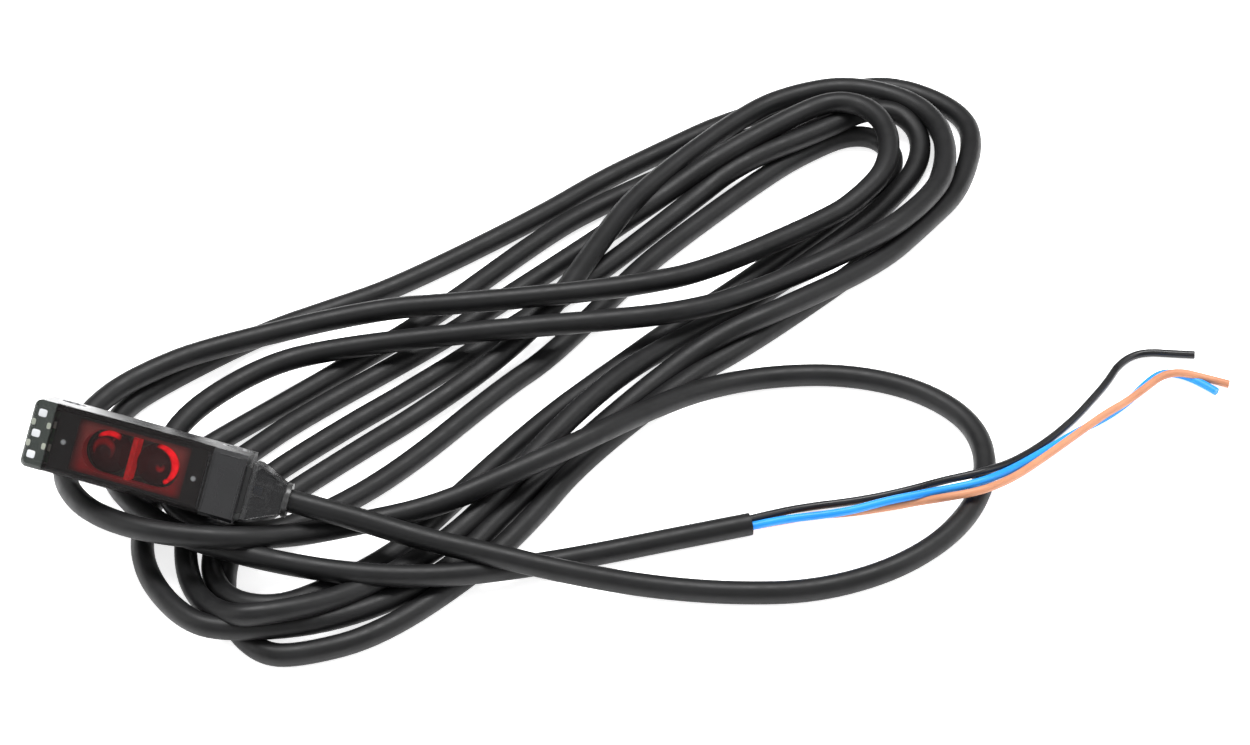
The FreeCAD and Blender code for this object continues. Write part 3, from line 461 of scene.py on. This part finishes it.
mouldedSettings = {
    "housing": {"name": "smokedHousing", "colour": (0.007, 0.007, 0.008), "wearAndHighlight": (0.013, 0.013, 0.014),
                "rough": 0.28, "grain": 700.0, "depth": 0.000003, "specular": 0.4},
    "facet": {"name": "frostedFacet", "colour": (0.42, 0.43, 0.44), "wearAndHighlight": (0.62, 0.63, 0.65),
              "rough": 0.4, "grain": 1500.0, "depth": 0.000008},
    "dimFacet": {"name": "dullFacet", "colour": (0.16, 0.18, 0.15), "wearAndHighlight": (0.30, 0.31, 0.26),
                 "rough": 0.4, "grain": 1500.0, "depth": 0.000008},
    "hood": {"name": "blackHood", "colour": (0.006, 0.006, 0.006), "wearAndHighlight": (0.012, 0.012, 0.012),
             "rough": 0.55, "grain": 2400.0},
    "jacket": {"name": "rubberJacket", "colour": (0.0045, 0.0045, 0.0048), "wearAndHighlight": (0.0075, 0.0075, 0.008),
               "rough": 0.46, "grain": 3200.0, "depth": 0.000012, "specular": 0.27},
    "seal": {"name": "rubberSeal", "colour": (0.012, 0.012, 0.012), "wearAndHighlight": (0.03, 0.03, 0.03),
             "rough": 0.33, "grain": 2600.0, "depth": 0.000006},
    "coreBlack": {"name": "coreBlackSkin", "colour": (0.006, 0.006, 0.007), "wearAndHighlight": (0.012, 0.012, 0.013),
                  "rough": 0.3, "grain": 2600.0, "depth": 0.000006, "specular": 0.35},
    "coreBlue": {"name": "coreBlueSkin", "colour": (0.012, 0.235, 0.78), "wearAndHighlight": (0.02, 0.29, 0.84),
                 "rough": 0.35, "grain": 2600.0, "depth": 0.000006, "specular": 0.3},
    "coreBrown": {"name": "coreBrownSkin", "colour": (0.45, 0.19, 0.10), "wearAndHighlight": (0.54, 0.25, 0.14),
                  "rough": 0.4, "grain": 2600.0, "depth": 0.000006, "specular": 0.3},
    "chipWhite": {"name": "lampChip", "colour": (0.55, 0.52, 0.46), "wearAndHighlight": (0.68, 0.65, 0.58),
                  "rough": 0.35, "grain": 3000.0},
    "chipBlack": {"name": "blackChip", "colour": (0.015, 0.015, 0.016), "wearAndHighlight": (0.03, 0.03, 0.031),
                  "rough": 0.42, "grain": 3200.0},
}
clearSettings = {
    "cover": {"name": "smokedCover", "colour": (0.006, 0.004, 0.004), "wearAndHighlight": (0.012, 0.009, 0.009),
              "rough": 0.2, "alpha": 0.34, "specular": 0.25},
    "window": {"name": "clearWindow", "colour": (0.030, 0.036, 0.032), "wearAndHighlight": (0.075, 0.088, 0.080),
               "rough": 0.22, "alpha": 0.72, "specular": 0.4},
    "endCap": {"name": "smokedEndCap", "colour": (0.010, 0.010, 0.011), "wearAndHighlight": (0.026, 0.026, 0.027),
               "rough": 0.2, "alpha": 0.78, "specular": 0.5},
}
metals = {
    "brass": {"name": "tinnedBrass", "colour": (0.62, 0.58, 0.48), "rough": 0.3},
    "steel": {"name": "turnedSteel", "colour": (0.6, 0.6, 0.61), "rough": 0.26},
}
finishes = {
    "mask": maskPlate(maskSettings),
    "board": circuitBoard("boardLacquer", boardSettings),
    "frame": redFrame(blockSettings),
    "divider": redDivider(dividerSettings),
    "transmitterLens": lensMaterial("transmitterDome", lensSettings["transmitter"]),
    "receiverLens": lensMaterial("receiverDome", lensSettings["receiver"]),
}
for makeFinish, choices in ((moulded, mouldedSettings), (clearPlastic, clearSettings), (turnedMetal, metals)):
    for finishName, choice in choices.items():
        finishes[finishName] = makeFinish(**choice)
nodeFinishes = {
    "housing": "housing", "front_cover": "cover", "indicator_window": "window", "mask_plate": "mask",
    "lens_frame": "frame", "transmitter_lens": "transmitterLens", "receiver_lens": "receiverLens",
    "optical_divider": "divider", "transmitter_hood": "hood", "receiver_hood": "hood",
    "emitter_led": "chipWhite", "receiver_chip": "chipBlack", "optics_board": "board",
    "signal_ic": "chipBlack",
    "main_board": "board", "voltage_regulator": "chipBlack", "output_transistor": "chipBlack",
    "passive_components": "chipWhite", "indicator_board": "board", "green_indicator_led": "chipWhite",
    "orange_indicator_led": "chipWhite", "solder_lugs": "brass", "mounting_bushes": "steel",
    "cable_end_cap": "endCap", "crimp_sleeve": "steel", "cable_seal_ring": "seal",
    "inner_wire_black": "coreBlack", "inner_wire_blue": "coreBlue", "inner_wire_brown": "coreBrown",
}


def dress(piece, material):
    piece.data.materials.clear()
    piece.data.materials.append(material)


for nodeName, finishName in nodeFinishes.items():
    node = nodes[nodeName]
    if not node.material_slots:
        node.data.materials.append(finishes[finishName])
    for slot in node.material_slots:
        slot.material = finishes[finishName]
print("finishes on %d nodes" % len(nodeFinishes))


# pieces added to the sensor are drawn in its own axes, in millimetres, and turned with it
def leanMatrix():
    roll, pitch, yaw = leanAngles
    aboutX = np.array([[1, 0, 0],
                       [0, math.cos(roll), -math.sin(roll)],
                       [0, math.sin(roll), math.cos(roll)]])
    aboutY = np.array([[math.cos(pitch), 0, math.sin(pitch)],
                       [0, 1, 0],
                       [-math.sin(pitch), 0, math.cos(pitch)]])
    aboutZ = np.array([[math.cos(yaw), -math.sin(yaw), 0], [math.sin(yaw), math.cos(yaw), 0], [0, 0, 1]])
    return aboutZ @ aboutY @ aboutX


seamWidth = 0.0002 * mm


def gridMesh(name, grids, material):
    # one closed piece from grids of points shaped (rows, columns, 3)
    # the rows wrap round, and each end column is one point repeated, which the merge then joins
    points = []
    faces = []
    start = 0
    for grid in grids:
        rows, columns = grid.shape[:2]
        index = start + np.arange(rows * columns).reshape(rows, columns)
        lower = np.roll(index, -1, axis=0)
        quads = np.stack([index[:, :-1], index[:, 1:], lower[:, 1:], lower[:, :-1]], axis=-1)
        faces.append(quads.reshape(-1, 4))
        points.append(grid.reshape(-1, 3))
        start += rows * columns
    placed = np.vstack(points) @ leanMatrix().T * mm
    mesh = bpy.data.meshes.new(name)
    mesh.from_pydata(placed.tolist(), [], np.vstack(faces).tolist())
    joiner = bmesh.new()
    joiner.from_mesh(mesh)
    bmesh.ops.remove_doubles(joiner, verts=joiner.verts, dist=seamWidth)
    bmesh.ops.recalc_face_normals(joiner, faces=joiner.faces)
    joiner.to_mesh(mesh)
    joiner.free()
    mesh.polygons.foreach_set("use_smooth", [True] * len(mesh.polygons))
    mesh.materials.append(material)
    piece = bpy.data.objects.new(name, mesh)
    bpy.context.scene.collection.objects.link(piece)
    return piece


facetGrid = {"around": 28, "outwards": 15}
beadGrid = {"around": 12, "along": 18, "bluntness": 8}


def squared(wave, power):
    # sign(wave) |wave|^power: the smaller the power, the squarer the outline
    return np.sign(wave) * np.abs(wave) ** power


def pillow(centre, halves, power):
    # superellipsoid of longitude u and latitude v, with every sine and cosine squared off:
    # across is cos u cos v, upward is sin u cos v, outward is sin v
    turn = np.linspace(0, 2 * np.pi, facetGrid["around"], endpoint=False)[:, None]
    rise = np.linspace(-np.pi / 2, np.pi / 2, facetGrid["outwards"])[None, :]
    across = squared(np.cos(turn), power) * squared(np.cos(rise), power)
    upward = squared(np.sin(turn), power) * squared(np.cos(rise), power)
    outward = squared(np.sin(rise), power) * np.ones_like(turn)
    return np.stack([centre[0] + halves[0] * across, centre[1] + halves[1] * outward,
                     centre[2] + halves[2] * upward], axis=-1)


def ridge(start, end, radius):
    # round bead along a straight line; its radius falls off as sqrt(1 - |2t - 1|^bluntness)
    # towards both ends; the direction that starts the circle is one that no bead runs along
    start, end = np.array(start, float), np.array(end, float)
    along = (end - start) / np.linalg.norm(end - start)
    side = np.cross(along, (0.3, 0.5, 0.8))
    side /= np.linalg.norm(side)
    other = np.cross(along, side)
    t = (1 - np.cos(np.linspace(0, np.pi, beadGrid["along"])))[None, :, None] / 2
    turn = np.linspace(0, 2 * np.pi, beadGrid["around"], endpoint=False)[:, None, None]
    width = radius * np.sqrt(np.maximum(1 - np.abs(2 * t - 1) ** beadGrid["bluntness"], 0))
    return start + (end - start) * t + width * (np.cos(turn) * side + np.sin(turn) * other)


def addDetail(name, grids, finish):
    piece = gridMesh(name, grids, finishes[finish])
    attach(piece, "sensor")


# facets of the light guide in the clear end: x along the body, z across it, and half their sides
guideSettings = {
    "lampFacets": {"places": [(-22.55, 2.6), (-22.75, 0.1), (-22.7, -2.45)], "half": (0.5, 0.12, 0.46),
                   "depth": -7.36, "power": 0.45, "finish": "facet"},
    "guideFacets": {"places": [(-21.5, 1.3), (-21.5, -1.2), (-23.35, 1.35), (-23.35, -1.2)],
                    "half": (0.26, 0.1, 0.4), "depth": -7.34, "power": 0.6, "finish": "dimFacet"},
}
for guideName, guide in guideSettings.items():
    facets = [pillow((x, guide["depth"], z), guide["half"], guide["power"]) for x, z in guide["places"]]
    addDetail(guideName, facets, guide["finish"])
# beads along the moulding's joints, each from, to and radius: the cover's end and the wire block
beadSettings = [
    ((-1.75, -7.42, 3.5), (-1.75, -7.42, -3.6), 0.09), ((-2.2, -7.42, 3.5), (-2.2, -7.42, -3.6), 0.07),
    ((-1.3, -7.36, 3.55), (1.9, -7.36, 3.55), 0.10), ((1.95, -7.38, 3.4), (1.95, -7.38, -3.5), 0.10),
    ((2.15, -6.6, 2.9), (2.15, -6.6, -2.9), 0.12)]
# the same on the clear cap
capBeadSettings = [
    ((3.0, -6.6, 3.25), (3.0, -6.6, -3.25), 0.10), ((3.6, -6.62, 3.3), (3.6, -6.62, -3.3), 0.10),
    ((3.6, -6.6, 3.35), (7.25, -5.4, 1.8), 0.16), ((3.6, -6.6, -3.35), (7.25, -5.4, -1.8), 0.12),
    ((3.7, -6.6, -0.3), (5.4, -6.02, -0.3), 0.08), ((5.4, -6.0, 1.2), (5.4, -6.0, -1.3), 0.08),
    ((7.28, -5.4, 1.7), (7.28, -5.4, -1.7), 0.12)]
addDetail("jointBeads", [ridge(*bead) for bead in beadSettings], "housing")
addDetail("capBeads", [ridge(*bead) for bead in capBeadSettings], "endCap")
print("details added")


floorSettings = {"size": 3.0, "colour": (0.94, 0.94, 0.945), "rough": 0.6, "specular": 0.2, "glow": 0.75,
                 "fibre": 900.0, "fibreDepth": 0.00002, "fibreStrength": 0.1}
airSettings = {"colour": (1, 1, 1, 1), "strength": 0.3}
lightSettings = {
    "overhead": {"place": (0.05, 0.16, 0.60), "aim": (0.05, 0.03, 0.0), "size": (0.7, 0.22), "power": 7.0},
    "left": {"place": (-0.55, -0.15, 0.35), "aim": (0.03, 0.02, 0.0), "size": (0.5, 0.4), "power": 1.6},
    "right": {"place": (0.65, -0.05, 0.35), "aim": (0.06, 0.03, 0.0), "size": (0.5, 0.4), "power": 1.6},
    "front": {"place": (0.05, -0.6, 0.55), "aim": (0.04, 0.0, 0.0), "size": (0.6, 0.3), "power": 0.8},
}


def makeFloor(settings):
    half = settings["size"] / 2
    mesh = bpy.data.meshes.new("studioFloor")
    corners = [(-half, -half, floorHeight), (half, -half, floorHeight), (half, half, floorHeight),
               (-half, half, floorHeight)]
    mesh.from_pydata(corners, [], [(0, 1, 2, 3)])
    material, tree, shader = newMaterial("paperFloor", settings["colour"], settings["rough"],
                                         settings["specular"])
    fibre = noise(tree, objectPoint(tree), settings["fibre"])
    addBump(tree, shader, fibre, settings["fibreDepth"], settings["fibreStrength"])
    shader.inputs["Emission Color"].default_value = (1, 1, 1, 1)
    shader.inputs["Emission Strength"].default_value = settings["glow"]
    mesh.materials.append(material)
    floor = bpy.data.objects.new("studioFloor", mesh)
    bpy.context.scene.collection.objects.link(floor)


def makeLight(name, settings):
    data = bpy.data.lights.new(name, "AREA")
    data.shape = "RECTANGLE"
    data.size, data.size_y = settings["size"]
    data.energy = settings["power"]
    lamp = bpy.data.objects.new(name, data)
    bpy.context.scene.collection.objects.link(lamp)
    lamp.location = settings["place"]
    direction = Vector(settings["aim"]) - lamp.location
    lamp.rotation_euler = direction.to_track_quat("-Z", "Y").to_euler()


makeFloor(floorSettings)
for lightName, lightChoice in lightSettings.items():
    makeLight(lightName, lightChoice)
world = bpy.data.worlds.new("studioAir")
bpy.context.scene.world = world
world.use_nodes = True
world.node_tree.nodes["Background"].inputs["Color"].default_value = airSettings["colour"]
world.node_tree.nodes["Background"].inputs["Strength"].default_value = airSettings["strength"]
bpy.context.scene.view_settings.view_transform = "Standard"


# what rides on the body
dress(jacket, finishes["jacket"])
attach(jacket, "sensor")
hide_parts("cable_lead", "cable_hank", "cable_tail")
for coreColour, core in cores.items():
    dress(core, finishes["core" + coreColour])
    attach(core, "sensor")
    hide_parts("core_" + coreColour.lower())
print("cords declared")
